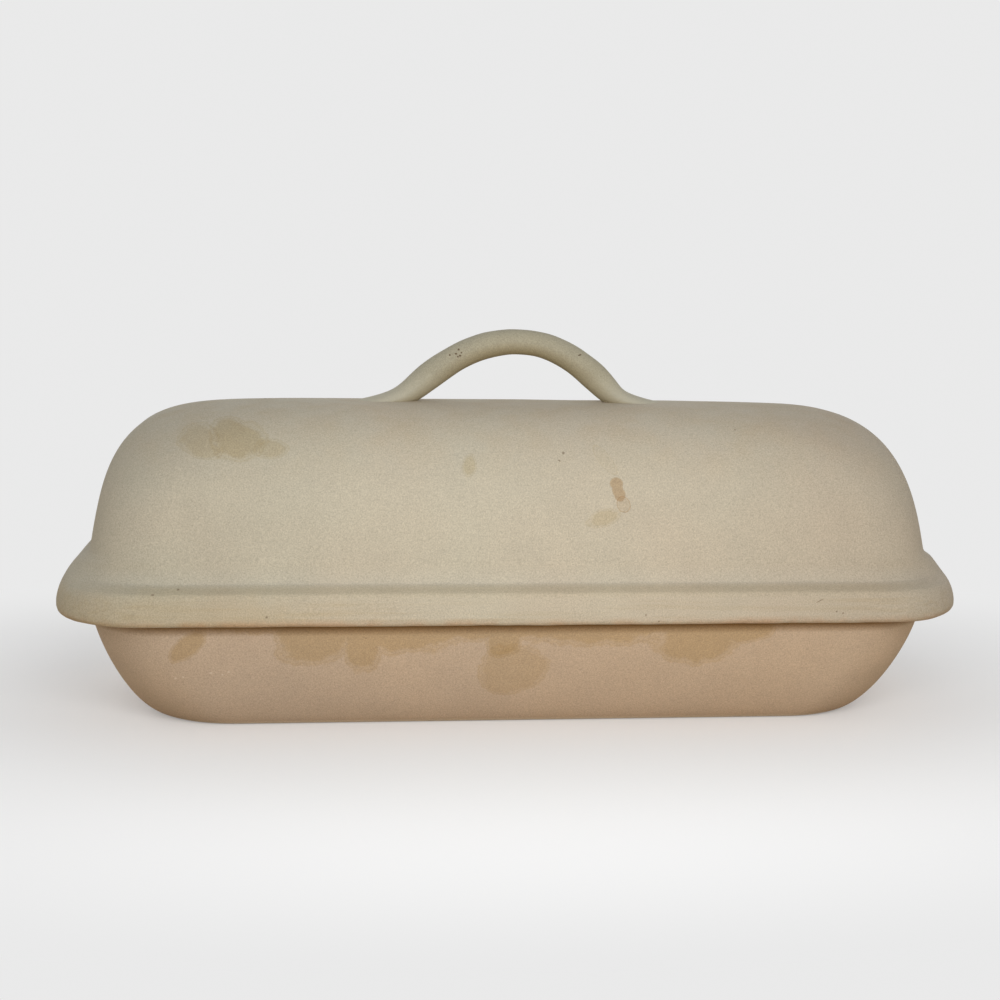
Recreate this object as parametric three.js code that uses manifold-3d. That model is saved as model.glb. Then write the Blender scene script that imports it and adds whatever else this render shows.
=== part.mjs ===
// A covered clay bread baker: an oblong tray with full, sloping sides, a loaf-shaped lid whose rim
// hangs over the tray's edge, and a coil of clay luted onto the lid's ridge as a loop handle.
// Millimetres. +X runs along the baker, +Z is up, and the origin is the middle of the tray's foot.

import * as THREE from "three";
import { mergeVertices } from "three/addons/utils/BufferGeometryUtils.js";
import Module from "manifold-3d";

// Tray
const trayLength = 351; // outside, at the edge that carries the lid
const trayWidth = 130; // outside, at the same edge
const trayHeight = 51.5; // foot to edge
const trayCornerRadius = 36; // in plan
const trayWall = 8;
const trayFloor = 9;
const trayEdgeRadius = 2; // the edge is softened on both sides
const footLength = 303; // flat underside
const footWidth = 90;
const traySideFullness = 1.4; // 1 is a straight slope, 2 a quarter ellipse

// How the lid sits on the tray
const seatGap = 0.3; // tray's edge to the lid's seat
const lidClearance = 1.5; // tray's edge to the inside of the hanging rim
const rimOverhang = 5.5; // how far the rim hangs below the tray's edge

// Lid
const rimThickness = 5; // hanging rim along the sides
const gripReach = 11; // hanging rim at the ends, which the fingers lift
const rimHeight = 10.8; // upright face of the rim along the sides
const rimCornerRadius = 38; // in plan
const rimEdgeRadius = 2.2; // lower edge of the rim along the sides
const rimRoundHeight = 2.8; // rounding above the face
const rimRoundReach = 1.2; // how far that rounding draws in
const ledgeWidth = 6.8; // rim's face to the crease below the wall
const ledgeSlope = 24; // degrees that the ledge falls from the crease
const sideLedge = 9; // how far the rim stands out from the wall along the sides
const flareSlope = 55; // degrees that the wall falls where it flares out to the crease
const shoulderHeight = 13.7; // top of the rim's face to the foot of the wall
const gripLedge = 13.5; // how far the rim stands out from the wall at the ends
const gripNose = 5.5; // height above the rim's lower edge where the ends stand out furthest
const gripFullness = 1.6; // the ends above that: 1 is a straight slope, 2 a quarter ellipse
const gripEdgeReach = 4.5; // how far the ends draw in below it
const gripEdgeRise = 3.2; // height of that rounding
const lidWall = 10;
const domeRise = 59.4; // shoulder to the ridge
const sideLean = 7.5; // degrees that the sides lean in
const endLean = 11.4; // degrees that the ends lean in
const sideFullness = 3; // 2 is a half ellipse across the lid, more is squarer
const endFullness = 4.4; // the same along the lid
const crownReach = 81; // how far the ends round over towards the ridge
const ridgeWidth = 18; // level strip along the ridge

// Loop handle
const handleRise = 31.2; // lid's ridge to the top of the loop
const handleSpan = 91; // between the legs, along their middle lines, where they meet the ridge
const handleFullness = 2.1; // 2 is a parabola, more is squarer
const coilThickness = 11.1; // in the plane of the loop, at its top
const footSwell = 1.3; // how much thicker the coil is at the foot of its legs
const coilWidth = 12; // across the loop
const tailReach = 17; // how far each end is thumbed out along the ridge
const tailWidth = 17;
const tailThickness = 2.4;
const tailRounding = 9; // length over which a tail's end is rounded in plan
const tipWidth = 4;
const flareHeight = 5; // height over which the legs curve out into the tails
const lutingGap = 0.3; // handle to lid

// Facets
const cornerSteps = 8;
const profileSteps = 8;
const shoulderSteps = 3;
const domeSteps = 11;
const edgeSteps = 3;
const handleSteps = 44;
const coilSides = 14;

const lidClay = new THREE.MeshStandardMaterial({ color: 0xc4b8a1, roughness: 0.92, metalness: 0 });
const handleClay = new THREE.MeshStandardMaterial({ color: 0xbcb097, roughness: 0.92, metalness: 0 });
const trayClay = new THREE.MeshStandardMaterial({ color: 0xb1987d, roughness: 0.94, metalness: 0 });

const wasm = await Module();
wasm.setup();

const degrees = THREE.MathUtils.degToRad;
const mix = THREE.MathUtils.lerp;

// A level oblong outline with rounded corners, anticlockwise from above.
// size holds half the length, half the width and the corner's radius along and across.
function outline({ length, width, along, across }, z) {
  const points = [];
  for (let corner = 0; corner < 4; corner++) {
    const signX = corner === 0 || corner === 3 ? 1 : -1;
    const signY = corner < 2 ? 1 : -1;
    for (let step = 0; step <= cornerSteps; step++) {
      const angle = ((corner + step / cornerSteps) * Math.PI) / 2;
      const x = signX * (length - along) + along * Math.cos(angle);
      const y = signY * (width - across) + across * Math.sin(angle);
      points.push(new THREE.Vector3(x, y, z));
    }
  }
  return points;
}

// An oblong's half sizes, for outline.
function oblong(length, width, radius) {
  return { length: length / 2, width: width / 2, along: radius, across: radius };
}

// The same oblong drawn in by a margin on every side.
function inset(size, margin) {
  return {
    length: size.length - margin,
    width: size.width - margin,
    along: size.along - margin,
    across: size.across - margin,
  };
}

// The oblong part of the way from one to another.
function between(from, to, share) {
  return {
    length: mix(from.length, to.length, share),
    width: mix(from.width, to.width, share),
    along: mix(from.along, to.along, share),
    across: mix(from.across, to.across, share),
  };
}

// A closed skin through rings of equally many points, with a fan over the first and last ring.
function loft(rings) {
  const count = rings[0].length;
  const points = rings.flat();
  const index = [];
  for (let ring = 0; ring + 1 < rings.length; ring++) {
    for (let i = 0; i < count; i++) {
      const here = ring * count + i;
      const beside = ring * count + ((i + 1) % count);
      index.push(here, beside, beside + count, here, beside + count, here + count);
    }
  }
  const middle = (ring) =>
    ring.reduce((sum, p) => sum.add(p), new THREE.Vector3()).divideScalar(count);
  points.push(middle(rings[0]), middle(rings[rings.length - 1]));
  const lastRing = (rings.length - 1) * count;
  for (let i = 0; i < count; i++) {
    const beside = (i + 1) % count;
    index.push(beside, i, points.length - 2);
    index.push(lastRing + i, lastRing + beside, points.length - 1);
  }
  const geometry = new THREE.BufferGeometry().setFromPoints(points);
  geometry.setIndex(index);
  geometry.computeVertexNormals();
  return geometry;
}

function toSolid(geometry) {
  const bare = geometry.clone();
  bare.deleteAttribute("normal");
  const merged = mergeVertices(bare);
  const mesh = new wasm.Mesh({
    numProp: 3,
    vertProperties: merged.attributes.position.array,
    triVerts: new Uint32Array(merged.index.array),
  });
  return new wasm.Manifold(mesh);
}

function toGeometry(solid) {
  const mesh = solid.getMesh();
  const geometry = new THREE.BufferGeometry();
  geometry.setAttribute("position", new THREE.BufferAttribute(mesh.vertProperties, 3));
  geometry.setIndex(new THREE.BufferAttribute(mesh.triVerts, 1));
  geometry.computeVertexNormals();
  return geometry;
}

function part(name, geometry, material) {
  const mesh = new THREE.Mesh(geometry, material);
  mesh.name = name;
  return mesh;
}

// Tray: foot, full side, softened edge, inside wall and floor.
const trayEdge = oblong(trayLength, trayWidth, trayCornerRadius);
const foot = oblong(footLength, footWidth, trayCornerRadius);

// Rings up a side that starts level at its foot and ends upright at its top.
function fullSide(low, high, bottom, top) {
  const rings = [];
  for (let step = 0; step <= profileSteps; step++) {
    const rise = 1 - Math.cos((step / profileSteps) * (Math.PI / 2));
    const spread = (1 - (1 - rise) ** traySideFullness) ** (1 / traySideFullness);
    rings.push(outline(between(low, high, spread), mix(bottom, top, rise)));
  }
  return rings;
}

function trayGeometry() {
  const mouth = inset(trayEdge, trayWall);
  const floor = inset(foot, trayWall);
  const soften = trayHeight - trayEdgeRadius;
  const rounding = (step) => (step / edgeSteps) * (Math.PI / 2);
  const outerEdge = [];
  const innerEdge = [];
  for (let step = 1; step <= edgeSteps; step++) {
    const drop = trayEdgeRadius * (1 - Math.sin(rounding(step)));
    const draw = trayEdgeRadius * (1 - Math.cos(rounding(step)));
    outerEdge.push(outline(inset(trayEdge, draw), trayHeight - drop));
    innerEdge.unshift(outline(inset(mouth, -draw), trayHeight - drop));
  }
  const outside = fullSide(foot, trayEdge, 0, soften);
  const inside = fullSide(floor, mouth, trayFloor, soften).reverse();
  return loft([...outside, ...outerEdge, ...innerEdge, ...inside]);
}

// Lid, in its own frame: the seat that rests on the tray's edge is at z = 0.
const rimBottom = -(rimOverhang + seatGap);
const rimTop = rimBottom + rimHeight;
const wallFoot = rimTop + shoulderHeight;
const ridge = wallFoot + domeRise;

const rimInside = inset(trayEdge, -lidClearance);
const rimOutside = {
  length: rimInside.length + gripReach,
  width: rimInside.width + rimThickness,
  along: rimCornerRadius,
  across: rimCornerRadius,
};
const wallBase = {
  length: rimOutside.length - gripLedge,
  width: rimOutside.width - sideLedge,
  along: rimCornerRadius - sideLedge,
  across: rimCornerRadius - sideLedge,
};

// Rings up a loaf-shaped dome that stands on base. Its walls lean in, its ends round over by reach,
// and its sides close towards the ridge.
function domeRings(base, rise, reach) {
  const rings = [];
  const widthAtRidge = base.width - rise * Math.tan(degrees(sideLean));
  const lastTurn = Math.acos((ridgeWidth / 2 / widthAtRidge) ** (sideFullness / 2));
  const lastHeight = Math.sin(lastTurn) ** (2 / sideFullness);
  for (let step = 0; step <= domeSteps; step++) {
    const turn = (step / domeSteps) * lastTurn;
    const height = Math.sin(turn) ** (2 / sideFullness);
    const sideClose = Math.cos(turn) ** (2 / sideFullness);
    const endClose = (1 - height ** endFullness) ** (1 / endFullness);
    const size = {
      length: base.length - rise * height * Math.tan(degrees(endLean)) - reach * (1 - endClose),
      width: (base.width - rise * height * Math.tan(degrees(sideLean))) * sideClose,
      along: base.along,
      across: base.across * sideClose,
    };
    rings.push(outline(size, wallFoot + (rise * height) / lastHeight));
  }
  return rings;
}

// How far a rounded edge draws in at a height above its lowest point.
function edgeInset(reach, rise, height) {
  const below = THREE.MathUtils.clamp(1 - height / rise, 0, 1);
  return reach * (1 - Math.sqrt(1 - below ** 2));
}

// The lid's end at a height: a full curve from the wall out to the nose, and a rounding below it.
function gripAt(z) {
  const nose = rimBottom + gripNose;
  const height = THREE.MathUtils.clamp((z - nose) / (wallFoot - nose), 0, 1);
  const share = (1 - height ** gripFullness) ** (1 / gripFullness);
  const end = between(wallBase, rimOutside, share);
  return inset(end, edgeInset(gripEdgeReach, gripEdgeRise, z - rimBottom));
}

// The lid's side from the rim's lower edge up to the wall: how far it draws in, and the height.
function sideProfile() {
  const tangent = (angle) => Math.tan(degrees(angle));
  const roundTop = rimTop + rimRoundHeight;
  const crease = roundTop + (ledgeWidth - rimRoundReach) * tangent(ledgeSlope);
  const flareStart = crease + (sideLedge - ledgeWidth) * tangent(flareSlope);
  const curve = new THREE.Path();
  curve.moveTo(0, rimTop);
  curve.quadraticCurveTo(0, roundTop - rimRoundReach * tangent(ledgeSlope), rimRoundReach, roundTop);
  curve.lineTo(ledgeWidth, crease);
  curve.quadraticCurveTo(sideLedge, flareStart, sideLedge, wallFoot);
  const lowerEdge = [];
  for (let step = 0; step <= edgeSteps; step++) {
    const lift = rimEdgeRadius * (1 - Math.cos((step / edgeSteps) * (Math.PI / 2)));
    lowerEdge.push(new THREE.Vector2(edgeInset(rimEdgeRadius, rimEdgeRadius, lift), rimBottom + lift));
  }
  const face = [gripEdgeRise, gripNose].map((lift) => new THREE.Vector2(0, rimBottom + lift));
  return [...lowerEdge, ...face, ...curve.getPoints(shoulderSteps)];
}

// Rings of the lid's outside, from the rim's lower edge to the ridge.
function lidOutside() {
  const rings = sideProfile().map(({ x, y }) => {
    const { length, along } = gripAt(y);
    return outline({ ...inset(rimOutside, x), length, along }, y);
  });
  rings.push(...domeRings(wallBase, domeRise, crownReach).slice(1));
  return rings;
}

function lidGeometry() {
  const hollow = inset(wallBase, lidWall);
  const inside = [
    ...domeRings(hollow, domeRise - lidWall, crownReach - lidWall).reverse(),
    outline(hollow, 0),
    outline(rimInside, 0),
    outline(rimInside, rimBottom),
  ];
  return loft([...inside, ...lidOutside()]);
}

// Handle: an arch whose ends run out along the ridge, flattened and widened into thumbed tails.
// Height of the coil's middle above the ridge. The arch alone would dive through the ridge at its
// feet: the hypotenuse turns it out along the ridge instead, and the arch is lowered to make up for it.
function handleHeight(x) {
  const top = handleRise - coilThickness / 2;
  const archTop = top - flareHeight ** 2 / (4 * top);
  const arch = archTop * (1 - (Math.abs(x) / (handleSpan / 2)) ** handleFullness);
  return (arch + Math.hypot(arch, flareHeight)) / 2;
}

function handleGeometry() {
  const tip = handleSpan / 2 + tailReach;
  const tailStart = handleSpan / 2 - coilThickness;
  const slopeStep = 0.01;
  const across = new THREE.Vector3(0, -1, 0);
  const rings = [];
  for (let step = 0; step <= handleSteps; step++) {
    const x = -tip * Math.cos((step / handleSteps) * Math.PI);
    const rise = handleHeight(x + slopeStep) - handleHeight(x - slopeStep);
    const along = new THREE.Vector3(2 * slopeStep, 0, rise).normalize();
    const outward = new THREE.Vector3(-along.z, 0, along.x);
    const tail = THREE.MathUtils.clamp((Math.abs(x) - tailStart) / (tip - tailStart), 0, 1);
    const ease = THREE.MathUtils.smoothstep(tail, 0, 1);
    const swell = footSwell * THREE.MathUtils.smoothstep(Math.abs(x), 0, handleSpan / 2);
    const thickness = mix(coilThickness + swell, tailThickness, ease);
    const nearTip = THREE.MathUtils.clamp((Math.abs(x) - tip) / tailRounding + 1, 0, 1);
    const fullWidth = mix(coilWidth, tailWidth, ease);
    const width = mix(tipWidth, fullWidth, Math.sqrt(1 - nearTip ** 2));
    const centre = new THREE.Vector3(x, 0, ridge + handleHeight(x));
    const ring = [];
    for (let side = 0; side < coilSides; side++) {
      const turn = (side / coilSides) * 2 * Math.PI;
      const point = centre.clone();
      point.addScaledVector(outward, (thickness / 2) * Math.cos(turn));
      point.addScaledVector(across, (width / 2) * Math.sin(turn));
      ring.push(point);
    }
    rings.push(ring);
  }
  const lidBelow = loft(lidOutside()).translate(0, 0, lutingGap);
  return toGeometry(toSolid(loft(rings)).subtract(toSolid(lidBelow)));
}

const lid = new THREE.Group();
lid.add(part("lid_dome", lidGeometry(), lidClay));
lid.add(part("lid_handle", handleGeometry(), handleClay));
lid.position.z = trayHeight + seatGap;

const baker = new THREE.Group();
baker.add(part("base_tray", trayGeometry(), trayClay));
baker.add(lid);

export default baker;
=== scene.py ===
import math

import bmesh
import bpy
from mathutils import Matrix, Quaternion, Vector


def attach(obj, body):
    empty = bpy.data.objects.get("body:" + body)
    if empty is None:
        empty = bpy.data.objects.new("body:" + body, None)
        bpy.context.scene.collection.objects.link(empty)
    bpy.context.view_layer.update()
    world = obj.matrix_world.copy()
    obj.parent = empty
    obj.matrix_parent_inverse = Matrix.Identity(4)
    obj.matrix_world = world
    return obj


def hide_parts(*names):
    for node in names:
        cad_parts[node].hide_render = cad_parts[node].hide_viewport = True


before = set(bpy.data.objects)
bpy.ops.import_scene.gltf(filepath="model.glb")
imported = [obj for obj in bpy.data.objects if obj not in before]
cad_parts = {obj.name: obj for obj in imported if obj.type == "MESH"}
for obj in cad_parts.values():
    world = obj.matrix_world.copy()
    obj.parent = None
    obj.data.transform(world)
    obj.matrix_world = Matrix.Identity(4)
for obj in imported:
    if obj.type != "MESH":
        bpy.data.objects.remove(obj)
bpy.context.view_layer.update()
mm = 0.001  # piece sizes are written in millimetres


# Shared modelling steps
def deselectAll():
    if bpy.context.object and bpy.context.object.mode == "EDIT":
        bpy.ops.object.mode_set(mode="OBJECT")
    bpy.ops.object.select_all(action="DESELECT")


def beginPiece(name):
    deselectAll()
    bpy.ops.mesh.primitive_plane_add(size=1, location=(0, 0, 0))
    piece = bpy.context.object
    piece.name = name
    piece.data.name = name
    bpy.ops.object.mode_set(mode="EDIT")
    bpy.ops.mesh.select_mode(type="VERT")
    bpy.ops.mesh.delete(type="VERT")
    return piece


def selectOpenEnds():
    bpy.ops.mesh.select_non_manifold(
        extend=False, use_wire=True, use_boundary=True,
        use_multi_face=False, use_non_contiguous=False, use_verts=False,
    )


def closeSkin():
    bpy.ops.mesh.select_all(action="SELECT")
    bpy.ops.mesh.normals_make_consistent(inside=False)
    bpy.ops.object.mode_set(mode="OBJECT")
    bpy.ops.object.shade_smooth()


def applyModifier(piece, name, kind, **settings):
    modifier = piece.modifiers.new(name, kind)
    for key, value in settings.items():
        setattr(modifier, key, value)
    bpy.context.view_layer.objects.active = piece
    bpy.ops.object.modifier_apply(modifier=modifier.name)


def weigh(piece, name, share):
    group = piece.vertex_groups.new(name=name)
    for vertex in piece.data.vertices:
        group.add([vertex.index], share(vertex.co / mm, vertex.normal), "REPLACE")


# hand-worked clay is never quite even: soft lumps of a given size pushed in and out along the surface
def unevenBy(piece, name, lump, depth, group):
    clouds = bpy.data.textures.new(name, "CLOUDS")
    clouds.noise_scale = lump * mm
    clouds.noise_depth = 1
    applyModifier(
        piece, name, "DISPLACE", texture=clouds, texture_coords="LOCAL", vertex_group=group,
        strength=depth * mm, mid_level=0.5,
    )


# oblong rings: half length, half width, and the corner's radius along and across
def oblong(length, width, radius):
    return {"length": length / 2, "width": width / 2, "along": radius, "across": radius}


def drawnIn(ring, margin):
    return {side: size - margin for side, size in ring.items()}


def between(low, high, share):
    return {side: low[side] + (high[side] - low[side]) * share for side in low}


# one ring's sides with another's ends
def endsOf(sides, ends):
    return {**sides, "length": ends["length"], "along": ends["along"]}


# a plane with rounded corners and no face, its straight sides cut into short lengths
def addOblongRing(ring, z, cuts):
    centre = (0, 0, z * mm)
    stretch = ring["along"] / ring["across"]
    length = ring["length"] / stretch * mm
    bpy.ops.mesh.primitive_plane_add(size=2, location=centre)
    bpy.ops.transform.resize(value=(length, ring["width"] * mm, 1), center_override=centre)
    bpy.ops.mesh.bevel(
        offset=ring["across"] * mm, segments=cuts["corner"], affect="VERTICES", clamp_overlap=False
    )
    bpy.ops.transform.resize(value=(stretch, 1, 1), center_override=centre)
    bpy.ops.mesh.delete(type="ONLY_FACE")
    straights = (
        (0, ring["length"] - ring["along"], cuts["side"]),
        (1, ring["width"] - ring["across"], cuts["end"]),
    )
    for axis, half, count in straights:
        bpy.ops.mesh.select_all(action="DESELECT")
        for edge in bmesh.from_edit_mesh(bpy.context.object.data).edges:
            reach = abs(edge.verts[0].co[axis] - edge.verts[1].co[axis])
            if edge.is_wire and abs(reach - 2 * half * mm) < 0.01 * mm:
                edge.select_set(True)
        bpy.ops.mesh.subdivide(number_cuts=count)


# draws the open end together into a line along the middle of the piece, a little shorter than the end
def closeToLine(z):
    selectOpenEnds()
    bpy.ops.mesh.extrude_region_move()
    bpy.ops.transform.resize(value=(0.97, 0, 1), center_override=(0, 0, z * mm))
    bpy.ops.mesh.remove_doubles(threshold=0.01 * mm)


# one closed skin through all the rings, from first to last
def skinThrough(rings, cuts):
    for place, (ring, z) in enumerate(rings):
        addOblongRing(ring, z, cuts)
        if place == 0:
            closeToLine(z)
        else:
            selectOpenEnds()
            bpy.ops.mesh.bridge_edge_loops()
    closeToLine(rings[-1][1])
    closeSkin()


# Tray
tray = {
    "length": 351, "width": 130, "height": 51.5, "corner": 36,
    "wall": 8, "floor": 9, "edge": 2, "edgeFall": 0.1,  # the edge falls a little towards the hollow
    "footLength": 303, "footWidth": 90, "footEdge": 0.5,
    "fullness": 1.4,  # of the side: 1 is a straight slope, 2 a quarter ellipse
    "lump": 55, "lumpDepth": 0.6, "unevenFrom": (1, 9), "unevenUpTo": (46, 40),  # heights
    "outsideSteps": 20, "insideSteps": 12, "cuts": {"corner": 12, "side": 52, "end": 10},
}


# rings up a full side, closer together near the bottom where it curves most
def traySide(low, high, bottom, top, steps):
    rings = []
    for step in range(steps + 1):
        rise = 1 - math.cos((step / steps) ** 0.9 * math.pi / 2)
        spread = (1 - (1 - rise) ** tray["fullness"]) ** (1 / tray["fullness"])
        rings.append((between(low, high, spread), bottom + (top - bottom) * rise))
    return rings


def buildTray():
    piece = beginPiece("tray")
    edge = oblong(tray["length"], tray["width"], tray["corner"])
    foot = oblong(tray["footLength"], tray["footWidth"], tray["corner"])
    mouth = drawnIn(edge, tray["wall"])
    floor = drawnIn(foot, tray["wall"])
    radius = tray["edge"]
    shoulder = tray["height"] - radius
    lip = [math.radians(turn) for turn in (30, 60, 90)]
    rings = [(drawnIn(foot, tray["footEdge"]), 0)]
    rings += traySide(foot, edge, tray["footEdge"], shoulder, tray["outsideSteps"])
    for turn in lip:
        rings.append((drawnIn(edge, radius * (1 - math.cos(turn))), shoulder + radius * math.sin(turn)))
    inner = shoulder - tray["edgeFall"]
    for turn in lip[::-1]:
        rings.append((drawnIn(mouth, radius * (math.cos(turn) - 1)), inner + radius * math.sin(turn)))
    rings += traySide(floor, mouth, tray["floor"], inner, tray["insideSteps"])[::-1]
    skinThrough(rings, tray["cuts"])
    applyModifier(piece, "round", "SUBSURF", levels=1, render_levels=1)
    low, full = tray["unevenFrom"]
    top, fullTop = tray["unevenUpTo"]

    def side(at, normal):  # the side is uneven, the foot stays flat and the edge stays level for the lid
        return max(0, min(1, (at.z - low) / (full - low), (top - at.z) / (top - fullTop)))

    weigh(piece, "side", side)
    unevenBy(piece, "pressed clay", tray["lump"], tray["lumpDepth"], "side")
    return piece


trayPiece = buildTray()
print("tray built", len(trayPiece.data.polygons))

# Lid
lid = {
    "length": 376, "width": 143, "corner": 38,  # over the rim
    "rimBottom": 46, "rimHeight": 10.8, "rimEdge": 2.2, "rimRoundHeight": 2.8, "rimRoundReach": 1.2,
    "ledge": 6.8, "ledgeSlope": 24, "sideLedge": 9, "flareSlope": 55, "shoulder": 13.7,
    "gripLedge": 13.5, "gripNose": 5.5, "gripFullness": 1.6, "gripEdgeReach": 4.5, "gripEdgeRise": 3.2,
    "gripRound": 6,  # the ends' shoulders round off more at their corners
    "seat": 51.8, "seatEdge": 1, "lipEdge": 0.8, "edgeFall": 0.1,
    "insideLength": 354, "insideWidth": 133, "insideCorner": 37.5,  # within the hanging rim
    "wall": 10, "rise": 59.4, "sideLean": 7.5, "endLean": 8.4,
    "sideFullness": 3, "endFullness": 4, "crownReach": 72, "ridge": 18,
    "hipAlong": 25, "hipAcross": 0.35,  # the corners round off towards the top
    "lump": 60, "lumpDepth": 0.7, "rimLump": 13, "rimLumpDepth": 0.5,
    "lutedAt": 52, "lutedReach": 22, "lutedEvenness": 0.8,  # smoother where the handle joins
    "outsideSteps": 24, "insideSteps": 13, "cuts": {"corner": 12, "side": 56, "end": 12},
}


# rings from the foot of the wall up to the ridge, drawing in at the sides and rounding over at the ends
def domeRings(base, bottom, rise, reach, steps):
    rings = []
    sideLean = math.tan(math.radians(lid["sideLean"]))
    endLean = math.tan(math.radians(lid["endLean"]))
    power = 2 / lid["sideFullness"]
    lastTurn = math.acos((lid["ridge"] / 2 / (base["width"] - rise * sideLean)) ** (1 / power))
    lastHeight = math.sin(lastTurn) ** power
    for step in range(steps + 1):
        turn = lastTurn * (step / steps) ** 1.5  # even steps up the wall
        height = math.sin(turn) ** power
        sideClose = math.cos(turn) ** power
        endClose = (1 - height ** lid["endFullness"]) ** (1 / lid["endFullness"])
        width = (base["width"] - rise * height * sideLean) * sideClose
        ring = {
            "length": base["length"] - rise * height * endLean - reach * (1 - endClose),
            "width": width,
            "along": base["along"] + lid["hipAlong"] * height ** 2,
            "across": base["across"] * sideClose + lid["hipAcross"] * height ** 2 * width,
        }
        rings.append((ring, bottom + rise * height / lastHeight))
    return rings


# how far a rounded edge is drawn in at a height above its lowest point
def edgeInset(reach, rise, height):
    return reach * (1 - math.sqrt(1 - max(0, 1 - height / rise) ** 2))


def quadratic(start, bend, end, t):
    return [a * (1 - t) ** 2 + 2 * b * t * (1 - t) + c * t * t for a, b, c in zip(start, bend, end)]


# the side from the rim's lower edge up to the wall: how far it draws in, and the height
def lidSide():
    ledgeFall = math.tan(math.radians(lid["ledgeSlope"]))
    flareFall = math.tan(math.radians(lid["flareSlope"]))
    bottom = lid["rimBottom"]
    rimTop = bottom + lid["rimHeight"]
    roundTop = rimTop + lid["rimRoundHeight"]
    roundReach = lid["rimRoundReach"]
    crease = roundTop + (lid["ledge"] - roundReach) * ledgeFall
    flareBend = (lid["sideLedge"], crease + (lid["sideLedge"] - lid["ledge"]) * flareFall)
    wallFoot = (lid["sideLedge"], rimTop + lid["shoulder"])
    edge = lid["rimEdge"]
    lifts = (0, 0.3, 1.1, 2.2, 3.2, 4.3, 5.5, 8)
    points = [(edgeInset(edge, edge, lift), bottom + lift) for lift in lifts]
    rimBend = (0, roundTop - roundReach * ledgeFall)
    for t in (0, 0.25, 0.5, 0.75, 1):
        points.append(quadratic((0, rimTop), rimBend, (roundReach, roundTop), t))
    for t in (0.4, 0.8):
        points.append((roundReach + (lid["ledge"] - roundReach) * t, roundTop + (crease - roundTop) * t))
    for t in (0, 0.08, 0.25, 0.45, 0.65, 0.85, 1):
        points.append(quadratic((lid["ledge"], crease), flareBend, wallFoot, t))
    return points


def buildLid():
    piece = beginPiece("lid")
    rim = oblong(lid["length"], lid["width"], lid["corner"])
    rimInside = oblong(lid["insideLength"], lid["insideWidth"], lid["insideCorner"])
    wall = {
        "length": rim["length"] - lid["gripLedge"], "width": rim["width"] - lid["sideLedge"],
        "along": lid["corner"] - lid["sideLedge"], "across": lid["corner"] - lid["sideLedge"],
    }
    hollow = drawnIn(wall, lid["wall"])
    bottom = lid["rimBottom"]
    rimTop = bottom + lid["rimHeight"]
    wallFoot = rimTop + lid["shoulder"]
    insideRise = lid["rise"] - lid["wall"]
    insideReach = lid["crownReach"] - lid["wall"]
    rings = domeRings(hollow, wallFoot, insideRise, insideReach, lid["insideSteps"])[::-1]
    seat = lid["seat"]
    soft = lid["seatEdge"]
    lip = lid["lipEdge"]
    fall = lid["edgeFall"]  # level edges fall a little towards the hollow
    rings += [
        (hollow, seat + 5), (hollow, seat + soft + fall), (drawnIn(hollow, -soft), seat + fall),
        (drawnIn(rimInside, soft), seat), (rimInside, seat - soft),
        (rimInside, bottom + lip + fall), (drawnIn(rimInside, -lip), bottom + fall),
    ]
    for drawn, height in lidSide():
        nose = bottom + lid["gripNose"]
        over = max(0, min(1, (height - nose) / (wallFoot - nose)))
        share = (1 - over ** lid["gripFullness"]) ** (1 / lid["gripFullness"])
        under = edgeInset(lid["gripEdgeReach"], lid["gripEdgeRise"], height - bottom)
        ring = endsOf(drawnIn(rim, drawn), drawnIn(between(wall, rim, share), under))
        rounder = lid["gripRound"] * math.sin(math.pi * over ** 2)
        ring = {**ring, "along": ring["along"] + rounder, "across": ring["across"] + rounder}
        rings.append((ring, height))
    rings += domeRings(wall, wallFoot, lid["rise"], lid["crownReach"], lid["outsideSteps"])[1:]
    skinThrough(rings, lid["cuts"])
    applyModifier(piece, "round", "SUBSURF", levels=1, render_levels=1)
    heart = Vector((0, 0, 70))  # inside the hollow, so that what faces away from it is outside

    def outer(at, normal):  # outside skin only, and gently where the handle is luted on
        outside = 1 if (at - heart).dot(normal) > 0 and normal.z > -0.4 and at.z > bottom + 2.5 else 0
        luted = max(0, 1 - abs(abs(at.x) - lid["lutedAt"]) / lid["lutedReach"]) if at.z > 120 else 0
        return outside * (1 - lid["lutedEvenness"] * luted)

    def lowerEdge(at, normal):
        return 1 if at.z < bottom + 3 and (at.xy - heart.xy).dot(normal.xy) >= 0 else 0

    weigh(piece, "outside", outer)
    weigh(piece, "lower edge", lowerEdge)
    unevenBy(piece, "pressed dome", lid["lump"], lid["lumpDepth"], "outside")
    unevenBy(piece, "fettled edge", lid["rimLump"], lid["rimLumpDepth"], "lower edge")
    return piece


lidPiece = buildLid()
print("lid built", len(lidPiece.data.polygons))

# Handle
handle = {
    "ridge": 129.9, "rise": 31.2, "span": 91, "fullness": 2.1,
    "skew": 2.5,  # the loop leans towards one end
    "thickness": 11.1, "width": 12, "flare": 6.4, "footSwell": 1.3,
    "tailReach": 20, "tailWidth": 19, "tailThickness": 4.6, "tailSink": 1.5,
    "tailRounding": 11, "tipWidth": 3,
    "lump": 16, "lumpDepth": 0.7,
    "steps": 60, "sides": 20,
}


def smooth(share):
    share = max(0, min(1, share))
    return share * share * (3 - 2 * share)


def coilHeight(x):
    top = handle["rise"] - handle["thickness"] / 2
    archTop = top - handle["flare"] ** 2 / (4 * top)
    arch = archTop * (1 - (abs(x) / (handle["span"] / 2)) ** handle["fullness"])
    return (arch + math.hypot(arch, handle["flare"])) / 2


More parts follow.
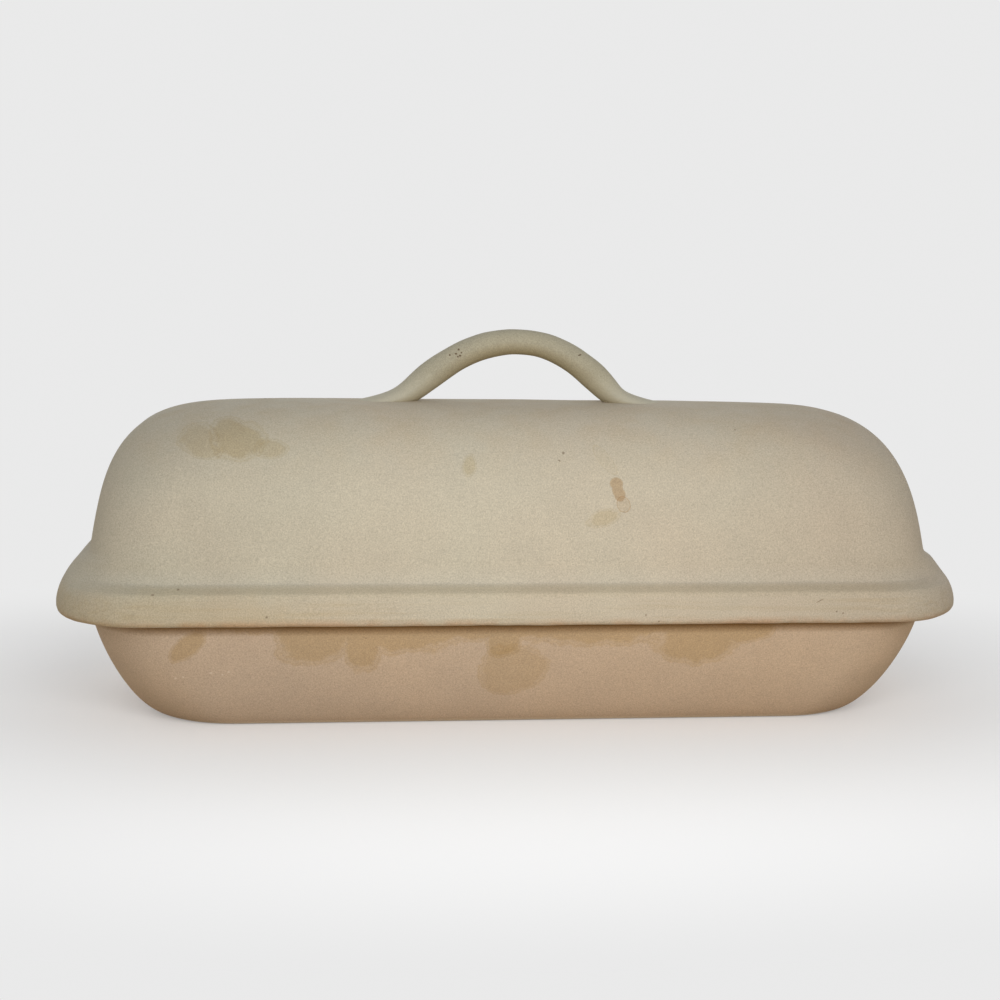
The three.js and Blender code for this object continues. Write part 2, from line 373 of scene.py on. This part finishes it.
def buildHandle():
    piece = beginPiece("handle")
    half = handle["span"] / 2
    tip = half + handle["tailReach"]
    tailStart = half - handle["thickness"]
    top = coilHeight(0)
    for step in range(handle["steps"] + 1):
        x = -tip * math.cos(step / handle["steps"] * math.pi)
        slope = math.atan2(coilHeight(x + 0.01) - coilHeight(x - 0.01), 0.02)
        tail = smooth((abs(x) - tailStart) / (tip - tailStart))
        nearTip = max(0, (abs(x) - tip) / handle["tailRounding"] + 1)
        rounding = math.sqrt(1 - min(1, nearTip) ** 2)
        thickness = handle["thickness"] + handle["footSwell"] * smooth(abs(x) / half)
        thickness += (handle["tailThickness"] - thickness) * tail
        width = handle["width"] + (handle["tailWidth"] - handle["width"]) * tail
        width = handle["tipWidth"] + (width - handle["tipWidth"]) * rounding
        thickness = thickness * (0.5 + 0.5 * rounding)
        height = coilHeight(x) - handle["tailSink"] * tail
        lean = handle["skew"] * coilHeight(x) / top
        centre = ((x + lean) * mm, 0, (handle["ridge"] + height) * mm)
        bpy.ops.mesh.primitive_circle_add(
            vertices=handle["sides"], radius=1, fill_type="NOTHING", location=centre, rotation=(0, 0, 0)
        )
        bpy.ops.transform.resize(value=(thickness / 2 * mm, width / 2 * mm, 1), center_override=centre)
        bpy.ops.transform.rotate(value=-(math.pi / 2 - slope), orient_axis="Y", center_override=centre)
        if step == 0:
            bpy.ops.mesh.edge_face_add()
        else:
            selectOpenEnds()
            bpy.ops.mesh.bridge_edge_loops()
    selectOpenEnds()
    bpy.ops.mesh.edge_face_add()
    closeSkin()
    applyModifier(piece, "round", "SUBSURF", levels=2, render_levels=2)
    weigh(piece, "loop", lambda at, normal: smooth((at.z - handle["ridge"] - 1) / 8))
    unevenBy(piece, "rolled coil", handle["lump"], handle["lumpDepth"], "loop")
    return piece


handlePiece = buildHandle()
print("handle built", len(handlePiece.data.polygons))


# Materials
def linearColour(code):
    parts = [int(code[i:i + 2], 16) / 255 for i in (1, 3, 5)]
    return [p / 12.92 if p <= 0.04045 else ((p + 0.055) / 1.055) ** 2.4 for p in parts] + [1]


def addNode(tree, kind, links=None, **settings):
    added = tree.nodes.new(kind)
    for key, value in settings.items():
        setattr(added, key, value)
    for key, value in (links or {}).items():
        if isinstance(value, bpy.types.NodeSocket):
            tree.links.new(value, added.inputs[key])
        else:
            added.inputs[key].default_value = value
    return added


def newMaterial(name):
    material = bpy.data.materials.new(name)
    material.use_nodes = True
    material.node_tree.nodes.clear()
    return material, material.node_tree


def tinted(tree, colour, share, tint, blend="MULTIPLY"):
    return addNode(
        tree, "ShaderNodeMix",
        {0: share, 6: colour, 7: linearColour(tint)}, data_type="RGBA", blend_type=blend,
    ).outputs[2]


# sizes in millimetres
stoneware = {
    "grain": 0.55, "grainDepth": 0.2, "mottle": 16, "mottled": (0.95, 1.04), "cloud": 75, "streak": 1.6,
    "speckSpacing": 9, "speckRadius": 0.36, "speckFrom": 0.75, "speckShare": 0.6, "iron": "#5d4a35",
    "ragged": 7, "endShadeFrom": (60, 190),
    "mottleHeight": 0.6, "bump": 0.35, "bumpDepth": 0.35, "roughness": (0.86, 0.96), "ior": 1.5,
}


# Unglazed stoneware, pressed in a mould and fired without a glaze: dry and matte, with a sandy
# grain, cloudy toning from the kiln, and here and there an iron speck that burnt through.
def clayGround(tree, look):
    tones = look["tones"]
    place = addNode(tree, "ShaderNodeTexCoord").outputs["Object"]
    axes = addNode(tree, "ShaderNodeSeparateXYZ", {0: place})
    noises = {}
    for name, detail in (("grain", 2), ("mottle", 4), ("cloud", 2), ("ragged", 4)):
        scale = 1 / (stoneware[name] * mm)
        links = {"Vector": place, "Scale": scale, "Detail": detail, "Roughness": 0.6}
        noises[name] = addNode(tree, "ShaderNodeTexNoise", links).outputs[0]
    # painted light: the light's colour, cooler at one end of the baker and warmer at the other, turns
    # the clay from greyer to warmer
    lightSweep = addNode(
        tree, "ShaderNodeMath", {0: axes.outputs["X"], 1: 2.2, 2: 0.5}, operation="MULTIPLY_ADD"
    ).outputs[0]
    drift = addNode(
        tree, "ShaderNodeMath", {0: noises["cloud"], 1: 1.6, 2: -0.8}, operation="MULTIPLY_ADD"
    ).outputs[0]
    tone = addNode(
        tree, "ShaderNodeMath", {0: lightSweep, 1: drift}, operation="ADD", use_clamp=True
    ).outputs[0]
    colour = addNode(
        tree, "ShaderNodeMix",
        {0: tone, 6: linearColour(tones[0]), 7: linearColour(tones[1])}, data_type="RGBA",
    ).outputs[2]
    depth = stoneware["grainDepth"]
    sandy = addNode(
        tree, "ShaderNodeMapRange",
        {0: noises["grain"], 1: 0.25, 2: 0.75, 3: 1 - depth, 4: 1 + depth}, clamp=True,
    ).outputs[0]
    dark, pale = stoneware["mottled"]
    uneven = addNode(
        tree, "ShaderNodeMapRange",
        {0: noises["mottle"], 1: 0.25, 2: 0.75, 3: dark, 4: pale}, clamp=True,
    ).outputs[0]
    # painted shade darkens the ends, away from the middle
    end = addNode(tree, "ShaderNodeMath", {0: axes.outputs["X"]}, operation="ABSOLUTE").outputs[0]
    start, stop = stoneware["endShadeFrom"]
    endShade = addNode(
        tree, "ShaderNodeMapRange",
        {0: end, 1: start * mm, 2: stop * mm, 3: 1.0, 4: look["ends"]}, clamp=True,
    ).outputs[0]
    shade = addNode(tree, "ShaderNodeMath", {0: uneven, 1: sandy}, operation="MULTIPLY").outputs[0]
    shade = addNode(tree, "ShaderNodeMath", {0: shade, 1: endShade}, operation="MULTIPLY").outputs[0]
    colour = addNode(
        tree, "ShaderNodeMix", {0: 1.0, 6: colour, 7: shade}, data_type="RGBA", blend_type="MULTIPLY"
    ).outputs[2]
    cells = addNode(
        tree, "ShaderNodeTexVoronoi", {"Vector": place, "Scale": 1 / (stoneware["speckSpacing"] * mm)}
    )
    chance = addNode(tree, "ShaderNodeSeparateColor", {0: cells.outputs["Color"]}).outputs[0]
    radius = stoneware["speckRadius"] / stoneware["speckSpacing"]
    size = addNode(
        tree, "ShaderNodeMapRange",
        {0: chance, 1: stoneware["speckFrom"], 2: 1.0, 3: 0.0, 4: radius}, clamp=True,
    ).outputs[0]
    speck = addNode(
        tree, "ShaderNodeMath", {0: cells.outputs["Distance"], 1: size}, operation="LESS_THAN"
    ).outputs[0]
    speck = addNode(
        tree, "ShaderNodeMath", {0: speck, 1: stoneware["speckShare"]}, operation="MULTIPLY"
    ).outputs[0]
    colour = tinted(tree, colour, speck, stoneware["iron"], "MIX")
    return place, axes, colour, noises


# 1 on the faces that look away from the baker's middle, 0 on those of the hollow
def outsideOnly(tree, place):
    facing = addNode(tree, "ShaderNodeNewGeometry").outputs["Normal"]
    away = addNode(
        tree, "ShaderNodeVectorMath", {0: facing, 1: place}, operation="DOT_PRODUCT"
    ).outputs["Value"]
    return addNode(
        tree, "ShaderNodeMapRange", {0: away, 1: 2 * mm, 2: 12 * mm}, clamp=True
    ).outputs[0]


# How strongly a place is stained by a group of blots. Each blot is a middle, half sizes and a turn in
# the front's plane, and its edge is ragged. Fill is the strength inside, rim that of a dried edge.
def stainShare(tree, place, ragged, stain):
    nearest = None
    for at, size, turn in stain["blots"]:
        links = {
            "Vector": place, "Location": [c * mm for c in at], "Rotation": (0, math.radians(turn), 0),
            "Scale": [s * mm for s in size],
        }
        local = addNode(tree, "ShaderNodeMapping", links, vector_type="TEXTURE").outputs[0]
        far = addNode(tree, "ShaderNodeVectorMath", {0: local}, operation="LENGTH").outputs["Value"]
        if nearest is None:
            nearest = far
        else:
            nearest = addNode(
                tree, "ShaderNodeMath", {0: nearest, 1: far}, operation="MINIMUM"
            ).outputs[0]
    wander = addNode(
        tree, "ShaderNodeMapRange", {0: ragged, 3: -stain["ragged"], 4: stain["ragged"]}, clamp=False
    ).outputs[0]
    edge = addNode(tree, "ShaderNodeMath", {0: nearest, 1: wander}, operation="ADD").outputs[0]
    inside = addNode(
        tree, "ShaderNodeMapRange", {0: edge, 1: 1.0, 2: 1 - stain["soft"], 3: 0.0, 4: stain["fill"]},
        interpolation_type="SMOOTHSTEP",
    ).outputs[0]
    offset = addNode(tree, "ShaderNodeMath", {0: edge, 1: 0.93}, operation="SUBTRACT").outputs[0]
    offset = addNode(tree, "ShaderNodeMath", {0: offset}, operation="ABSOLUTE").outputs[0]
    line = addNode(
        tree, "ShaderNodeMapRange", {0: offset, 1: 0.0, 2: 0.1, 3: stain["rim"], 4: 0.0}, clamp=True
    ).outputs[0]
    share = addNode(tree, "ShaderNodeMath", {0: inside, 1: line}, operation="MAXIMUM").outputs[0]
    outside = outsideOnly(tree, place)
    return addNode(tree, "ShaderNodeMath", {0: share, 1: outside}, operation="MULTIPLY").outputs[0]


# a level band between two heights, soft at its ends
def heightBand(tree, height, low, full, fullTop, top):
    rising = addNode(
        tree, "ShaderNodeMapRange", {0: height, 1: low * mm, 2: full * mm}, clamp=True
    ).outputs[0]
    falling = addNode(
        tree, "ShaderNodeMapRange", {0: height, 1: top * mm, 2: fullTop * mm}, clamp=True
    ).outputs[0]
    return addNode(tree, "ShaderNodeMath", {0: rising, 1: falling}, operation="MINIMUM").outputs[0]


# the sandy relief and the dry, uneven sheen that all three pieces share
def finishClay(tree, colour, noises):
    height = addNode(
        tree, "ShaderNodeMath",
        {0: noises["mottle"], 1: stoneware["mottleHeight"], 2: noises["grain"]},
        operation="MULTIPLY_ADD",
    ).outputs[0]
    bump = addNode(
        tree, "ShaderNodeBump",
        {"Strength": stoneware["bump"], "Distance": stoneware["bumpDepth"] * mm, "Height": height},
    ).outputs[0]
    smoothest, roughest = stoneware["roughness"]
    rough = addNode(
        tree, "ShaderNodeMapRange",
        {0: noises["mottle"], 1: 0.3, 2: 0.7, 3: smoothest, 4: roughest}, clamp=True,
    ).outputs[0]
    clay = addNode(
        tree, "ShaderNodeBsdfPrincipled",
        {
            "Base Color": colour, "Roughness": rough, "Normal": bump,
            "IOR": stoneware["ior"], "Metallic": 0,
        },
    )
    addNode(tree, "ShaderNodeOutputMaterial", {"Surface": clay.outputs[0]})


# Stains: on the front where they show, on the back by guess. Depths reach well into the wall, so that a
# blot lies flat on the curved clay.
lidLook = {
    "tones": ("#bab4a2", "#bcb09d"), "ends": 0.86,
    "soak": "#ebe1c8",
    "soaked": {
        "fill": 0.75, "rim": 0.4, "soft": 0.4, "ragged": 0.35,
        "blots": (
            ((-113.5, -43.5, 116.8), (11.5, 40, 8.2), 0),
            ((-117.5, -39, 120.5), (8.5, 40, 5), 0),
        ),
    },
    "faint": {
        "fill": 0.52, "rim": 0.35, "soft": 0.4, "ragged": 0.35,
        "blots": (
            ((-130, -44.5, 117.2), (8.5, 40, 6), 0),
            ((-126.5, -48.5, 113.2), (7, 40, 3.6), 0),
            ((-100.8, -48, 113.9), (7, 40, 4), 0),
            ((32, -59.5, 87.6), (7.4, 40, 3.6), -20),
            ((-22, -52, 108), (2.9, 40, 4.6), 10),
            ((64, 46, 114), (12, 40, 5.5), 0), ((71, 50, 109), (6, 40, 4), 20),
            ((-41, 57, 97), (3.6, 40, 8), 8),
        ),
    },
    "drip": {
        "fill": 0.95, "rim": 0.95, "soft": 0.2, "ragged": 0.2, "tint": "#e9d8c4",
        "blots": (
            ((37.6, -55, 101.2), (2.8, 40, 2.5), 0), ((38, -56, 98.8), (2.3, 40, 3), 0),
            ((38.9, -57, 96.8), (2.4, 40, 2.8), 0),
        ),
    },
    "trail": {
        "fill": 0.1, "rim": 0.3, "soft": 0.3, "ragged": 0.25,
        "blots": (((33.6, -49, 110.2), (2.6, 40, 7.5), -38),),
    },
    "dripEnd": {
        "fill": 0.35, "rim": 1.0, "soft": 0.3, "ragged": 0.25, "tint": "#e9d8c4",
        "blots": (((40.2, -58.5, 93.2), (2.8, 40, 3.3), -20),),
    },
    "rimWash": {
        "fill": 0.6, "rim": 0, "soft": 0.6, "ragged": 0.2, "tint": "#fdf2e1",
        "blots": (((-150, -45, 49), (120, 75, 15), 0),),
    },
    "specks": {
        "fill": 0.6, "rim": 0, "soft": 0.6, "ragged": 0.3,
        "blots": (
            ((16.7, -49, 112.8), (0.7, 4, 0.7), 0), ((14.8, -51, 109.9), (0.8, 4, 0.4), 30),
            ((-105, 5.6, 129.5), (0.9, 3, 3), 0),
            ((-102, -71.5, 50.4), (0.6, 3, 0.6), 0), ((48.1, -71.5, 50.3), (0.5, 3, 0.5), 0),
            ((53.5, -71.2, 47.7), (0.6, 3, 0.4), 0),
            ((126.5, -71.5, 51.2), (0.5, 3, 0.5), 0), ((129.2, -71.5, 50.5), (0.5, 3, 0.5), 0),
            ((-145.6, -68, 59.3), (0.9, 6, 0.4), 0), ((-136.2, -66, 60.8), (0.7, 6, 0.35), 0),
            ((119.4, -71.5, 55.7), (2.4, 4, 0.25), -27),
        ),
    },
    "creaseShade": (57, 59.4, 60.8, 62.2), "creaseShadeShare": 0.4, "creaseShadeEnd": (145, 178),
    "edge": (44, 45, 47.2, 50), "bouncedLightShare": 0.8, "bouncedLightTint": "#f5dccb",
    "topShade": "#ece2d4", "topShadeHeights": (98, 126), "topShadeShare": 0.6,
    "rim": (46, 47, 56, 58), "streakShare": 0.3,
}


# Cream stoneware pressed in a mould: pale and a little green, darkened on top by painted shade, with
# dried stains.
def lidMaterial():
    material, tree = newMaterial("unglazed cream stoneware, pressed")
    place, axes, colour, noises = clayGround(tree, lidLook)
    for name in ("soaked", "faint", "drip", "dripEnd", "trail", "rimWash"):
        share = stainShare(tree, place, noises["ragged"], lidLook[name])
        colour = tinted(tree, colour, share, lidLook[name].get("tint", lidLook["soak"]))
    # painted shade darkens the top towards the ridge, in patches
    height = axes.outputs["Z"]
    topShade = addNode(
        tree, "ShaderNodeMapRange", {0: noises["mottle"], 1: 0.35, 2: 0.7}, clamp=True
    ).outputs[0]
    low, top = lidLook["topShadeHeights"]
    high = addNode(
        tree, "ShaderNodeMapRange",
        {0: height, 1: low * mm, 2: top * mm, 3: 0.0, 4: lidLook["topShadeShare"]}, clamp=True,
    ).outputs[0]
    topShade = addNode(tree, "ShaderNodeMath", {0: topShade, 1: high}, operation="MULTIPLY").outputs[0]
    colour = tinted(tree, colour, topShade, lidLook["topShade"])
    # the rim was wiped along with a wet sponge
    along = addNode(tree, "ShaderNodeMapping", {"Vector": place, "Scale": (0.04, 1, 1)}).outputs[0]
    streak = addNode(
        tree, "ShaderNodeTexNoise",
        {"Vector": along, "Scale": 1 / (stoneware["streak"] * mm), "Detail": 2},
    ).outputs[0]
    streak = addNode(
        tree, "ShaderNodeMapRange",
        {0: streak, 1: 0.45, 2: 0.75, 3: 0.0, 4: lidLook["streakShare"]}, clamp=True,
    ).outputs[0]
    face = heightBand(tree, height, *lidLook["rim"])
    streak = addNode(tree, "ShaderNodeMath", {0: streak, 1: face}, operation="MULTIPLY").outputs[0]
    colour = tinted(tree, colour, streak, lidLook["soak"])
    # painted shade darkens the crease above the rim, fading towards the ends
    end = addNode(tree, "ShaderNodeMath", {0: axes.outputs["X"]}, operation="ABSOLUTE").outputs[0]
    start, stop = lidLook["creaseShadeEnd"]
    along = addNode(
        tree, "ShaderNodeMapRange",
        {0: end, 1: start * mm, 2: stop * mm, 3: lidLook["creaseShadeShare"], 4: 0.0}, clamp=True,
    ).outputs[0]
    crease = heightBand(tree, height, *lidLook["creaseShade"])
    crease = addNode(tree, "ShaderNodeMath", {0: crease, 1: along}, operation="MULTIPLY").outputs[0]
    colour = tinted(tree, colour, crease, lidLook["soak"])
    # painted light: warm light bounced up from the tray tints the rim's lower edge, in patches
    edge = heightBand(tree, height, *lidLook["edge"])
    patch = addNode(
        tree, "ShaderNodeMapRange",
        {0: noises["mottle"], 1: 0.4, 2: 0.6, 3: 0.15, 4: lidLook["bouncedLightShare"]}, clamp=True,
    ).outputs[0]
    edge = addNode(tree, "ShaderNodeMath", {0: edge, 1: patch}, operation="MULTIPLY").outputs[0]
    colour = tinted(tree, colour, edge, lidLook["bouncedLightTint"])
    share = stainShare(tree, place, noises["ragged"], lidLook["specks"])
    colour = tinted(tree, colour, share, stoneware["iron"], "MIX")
    finishClay(tree, colour, noises)
    return material


handleLook = {
    "tones": ("#a39f8e", "#a69e86"), "ends": 1.0,
    "specks": {
        "fill": 0.9, "rim": 0, "soft": 0.4, "ragged": 0.3,
        "blots": (
            ((-22.8, -5, 152.2), (0.6, 4, 0.6), 0), ((-24, -5, 150.4), (0.7, 4, 0.5), 0),
            ((-22.2, -5, 149.6), (0.9, 4, 0.6), 30), ((-21.7, -5, 150.9), (0.5, 4, 0.5), 0),
            ((-23.2, -5, 149.2), (0.5, 4, 0.5), 0), ((-22.6, -5, 148.6), (0.5, 4, 0.4), 0),
            ((-26.6, -5, 149.8), (0.5, 4, 0.5), 0),
            ((29.5, -5, 150.4), (1.1, 4, 0.4), -20),
        ),
    },
    "slip": "#bfbaa8", "slipped": (124, 126, 132, 143), "slipShare": 0.6,
    "undersideShadeAndStain": "#d8c8a4", "undersideShadeAndStainShare": 0.7,
}


# The lid's clay rolled into a coil by hand: greyer, pale where it is luted on, with painted shade and a
# stain underneath.
def handleMaterial():
    material, tree = newMaterial("unglazed cream stoneware, rolled by hand")
    place, axes, colour, noises = clayGround(tree, handleLook)
    # the slip that luted it on dried paler
    slip = heightBand(tree, axes.outputs["Z"], *handleLook["slipped"])
    slip = addNode(
        tree, "ShaderNodeMath", {0: slip, 1: handleLook["slipShare"]}, operation="MULTIPLY"
    ).outputs[0]
    colour = tinted(tree, colour, slip, handleLook["slip"], "MIX")
    # painted shade browns the loop's downward faces, over a stain along the underside
    facing = addNode(tree, "ShaderNodeNewGeometry").outputs["Normal"]
    facing = addNode(tree, "ShaderNodeSeparateXYZ", {0: facing}).outputs["Z"]
    undersideShadeAndStain = addNode(
        tree, "ShaderNodeMapRange",
        {0: facing, 1: 0.1, 2: -0.8, 3: 0.0, 4: handleLook["undersideShadeAndStainShare"]}, clamp=True,
    ).outputs[0]
    colour = tinted(tree, colour, undersideShadeAndStain, handleLook["undersideShadeAndStain"])
    share = stainShare(tree, place, noises["ragged"], handleLook["specks"])
    colour = tinted(tree, colour, share, stoneware["iron"], "MIX")
    finishClay(tree, colour, noises)
    return material


trayLook = {
    "tones": ("#b8a591", "#bea890"), "ends": 0.99,
    "soak": "#ebe1c3",
    "soaked": {
        "fill": 0.75, "rim": 0.5, "soft": 0.3, "ragged": 0.35,
        "blots": (
            ((-133.5, -62.6, 36.8), (4.6, 40, 9.5), 47),
            ((-8, -63, 46.5), (118, 40, 8.5), 0),
            ((-84, -62, 41), (17, 40, 13.5), 0),
            ((-64.5, -61, 36.5), (8.5, 40, 12.5), 0),
            ((-50, -62, 45), (33, 40, 12.5), 0),
            ((-8, -62.5, 38), (8, 40, 7), 0),
            ((28, -62.5, 46), (36, 40, 11), 0),
            ((71, -61, 37), (18, 40, 10), 0),
            ((90, -62.5, 43), (14, 40, 7), 0),
            ((52, 62.6, 46.5), (95, 40, 7.5), 0), ((-42, 62, 41), (19, 40, 11), 0),
            ((18, 61.5, 39), (10, 40, 12), 0), ((97, 61, 42), (16, 40, 9), 0),
        ),
    },
    "damp": {
        "fill": 0.5, "rim": 0.45, "soft": 0.25, "ragged": 0.4,
        "blots": (((-4, -59, 25.5), (14.5, 40, 11.5), 0), ((-8, -56, 19.5), (7, 40, 6), 0)),
    },
    "pale": {
        "fill": 0.4, "rim": 0, "soft": 0.8, "ragged": 0.4,
        "blots": (
            ((-138.5, -57, 23), (0.8, 5, 0.8), 0), ((-135.5, -58, 23.6), (0.7, 5, 0.6), 0),
            ((-124.5, -58.5, 25.4), (0.9, 5, 0.6), 0), ((-120, -59, 24.6), (0.6, 5, 0.5), 0),
            ((-117.5, -59, 25.8), (0.8, 5, 0.5), 0),
        ),
    },
    "salt": "#e9dfcd",
    "paleFoot": (-1, -0.5, 1, 2), "paleFootShare": 0.55,
    "underRimShade": (41, 44.6, 46.5, 48.5), "underRimShadeShare": 0.85,
    "underRimShadeTint": "#a58850",
}


# Pinkish tan stoneware pressed in a mould: warmer than the lid, with oily drips below the lid's rim.
def trayMaterial():
    material, tree = newMaterial("unglazed pinkish tan stoneware, pressed")
    place, axes, colour, noises = clayGround(tree, trayLook)
    for name in ("soaked", "damp"):
        share = stainShare(tree, place, noises["ragged"], trayLook[name])
        colour = tinted(tree, colour, share, trayLook["soak"])
    # painted shadow: the tray is darkened brown just below the lid's rim
    underRimShade = heightBand(tree, axes.outputs["Z"], *trayLook["underRimShade"])
    underRimShade = addNode(
        tree, "ShaderNodeMath", {0: underRimShade, 1: trayLook["underRimShadeShare"]}, operation="MULTIPLY"
    ).outputs[0]
    outside = outsideOnly(tree, place)
    underRimShade = addNode(tree, "ShaderNodeMath", {0: underRimShade, 1: outside}, operation="MULTIPLY").outputs[0]
    colour = tinted(tree, colour, underRimShade, trayLook["underRimShadeTint"])
    share = stainShare(tree, place, noises["ragged"], trayLook["pale"])
    colour = tinted(tree, colour, share, trayLook["salt"], "MIX")
    # the foot's lowest edge is paler
    paleFoot = heightBand(tree, axes.outputs["Z"], *trayLook["paleFoot"])
    paleFoot = addNode(
        tree, "ShaderNodeMath", {0: paleFoot, 1: trayLook["paleFootShare"]}, operation="MULTIPLY"
    ).outputs[0]
    colour = tinted(tree, colour, paleFoot, trayLook["salt"], "MIX")
    finishClay(tree, colour, noises)
    return material


for piece, material, body, node, slot in (
    (trayPiece, trayMaterial(), "base", "base_tray", "tray_clay"),
    (lidPiece, lidMaterial(), "lid", "lid_dome", "lid_clay"),
    (handlePiece, handleMaterial(), "lid", "lid_handle", "handle_clay"),
):
    piece.data.materials.clear()
    piece.data.materials.append(material)
    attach(piece, body)
    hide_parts(node)
print("materials given")

# Studio
studio = {
    "cameraAt": (-78.8, -688.4, 183.5), "cameraAim": (-3.4, 0.9, 86.5), "cameraRoll": 0.016,
    "lens": 57.6, "sensor": 36,
    "keyAt": (0, -500, 240), "keyAim": (0, 0, 60), "keySize": 350, "keyPower": 1.6,
    "horizon": 0.25, "zenith": 0.18, "sideGlow": 0.85, "backGlow": 1.2, "background": 0.82,
    "floor": "#e2e2e2", "floorGlow": 0.22, "bounce": "#d8c7ac",
    "floorOval": (1, 1.6, 1), "floorFade": (200, 460),  # the floor fades out over these distances
}


def buildStudio():
    scene = bpy.context.scene
    scene.view_settings.view_transform = "Standard"
    at = Vector(studio["cameraAt"]) * mm
    aim = (Vector(studio["cameraAim"]) * mm - at).to_track_quat("-Z", "Y")
    turned = aim @ Quaternion((0, 0, 1), studio["cameraRoll"])
    deselectAll()
    bpy.ops.object.camera_add(location=at, rotation=turned.to_euler())
    scene.camera = bpy.context.object
    scene.camera.data.lens = studio["lens"]
    scene.camera.data.sensor_width = studio["sensor"]
    scene.camera.data.clip_start = 0.01

    at = Vector(studio["keyAt"]) * mm
    facing = (Vector(studio["keyAim"]) * mm - at).to_track_quat("-Z", "Y").to_euler()
    bpy.ops.object.light_add(type="AREA", location=at, rotation=facing)
    softbox = bpy.context.object.data
    softbox.shape = "DISK"
    softbox.size = studio["keySize"] * mm
    softbox.energy = studio["keyPower"]

    world = bpy.data.worlds.new("studio walls")
    scene.world = world
    world.use_nodes = True
    tree = world.node_tree
    tree.nodes.clear()
    look = addNode(tree, "ShaderNodeTexCoord").outputs["Generated"]
    axes = addNode(tree, "ShaderNodeSeparateXYZ", {0: look})
    walls = addNode(
        tree, "ShaderNodeMapRange",
        {0: axes.outputs["Z"], 1: 0.0, 2: 0.9, 3: studio["horizon"], 4: studio["zenith"]}, clamp=True,
    ).outputs[0]
    sides = addNode(
        tree, "ShaderNodeMath", {0: axes.outputs["X"], 1: axes.outputs["X"]}, operation="MULTIPLY"
    ).outputs[0]
    walls = addNode(
        tree, "ShaderNodeMath", {0: sides, 1: studio["sideGlow"], 2: walls}, operation="MULTIPLY_ADD"
    ).outputs[0]
    behind = addNode(
        tree, "ShaderNodeMapRange",
        {0: axes.outputs["Y"], 1: 0.3, 2: 1.0, 3: 0.0, 4: studio["backGlow"]},
        interpolation_type="SMOOTHSTEP",
    ).outputs[0]
    walls = addNode(tree, "ShaderNodeMath", {0: walls, 1: behind}, operation="ADD").outputs[0]
    seen = addNode(tree, "ShaderNodeLightPath").outputs["Is Camera Ray"]
    strength = addNode(
        tree, "ShaderNodeMix", {0: seen, 2: walls, 3: studio["background"]}, data_type="FLOAT"
    ).outputs[0]
    light = addNode(tree, "ShaderNodeBackground", {"Color": (1, 1, 1, 1), "Strength": strength})
    addNode(tree, "ShaderNodeOutputWorld", {0: light.outputs[0]})

    bpy.ops.mesh.primitive_plane_add(size=60, location=(0, 0, 0))
    floor = bpy.context.object
    floor.name = "floor"
    material, tree = newMaterial("pale painted floor")
    pale = addNode(tree, "ShaderNodeBsdfDiffuse", {"Color": linearColour(studio["floor"])})
    glow = addNode(
        tree, "ShaderNodeEmission", {"Color": (1, 1, 1, 1), "Strength": studio["floorGlow"]}
    )
    shown = addNode(tree, "ShaderNodeAddShader", {0: pale.outputs[0], 1: glow.outputs[0]})
    # away from the baker the floor fades into the background, so no horizon shows
    place = addNode(tree, "ShaderNodeTexCoord").outputs["Object"]
    oval = addNode(
        tree, "ShaderNodeMapping", {"Vector": place, "Scale": studio["floorOval"]}
    ).outputs[0]
    away = addNode(tree, "ShaderNodeVectorMath", {0: oval}, operation="LENGTH").outputs["Value"]
    near, far = studio["floorFade"]
    fade = addNode(
        tree, "ShaderNodeMapRange", {0: away, 1: near * mm, 2: far * mm}, interpolation_type="SMOOTHSTEP"
    ).outputs[0]
    backdrop = addNode(
        tree, "ShaderNodeEmission", {"Color": (1, 1, 1, 1), "Strength": studio["background"]}
    )
    shown = addNode(tree, "ShaderNodeMixShader", {0: fade, 1: shown.outputs[0], 2: backdrop.outputs[0]})
    bounce = addNode(tree, "ShaderNodeBsdfDiffuse", {"Color": linearColour(studio["bounce"])})
    seen = addNode(tree, "ShaderNodeLightPath").outputs["Is Camera Ray"]
    mixed = addNode(tree, "ShaderNodeMixShader", {0: seen, 1: bounce.outputs[0], 2: shown.outputs[0]})
    addNode(tree, "ShaderNodeOutputMaterial", {"Surface": mixed.outputs[0]})
    floor.data.materials.append(material)


buildStudio()
print("studio set")
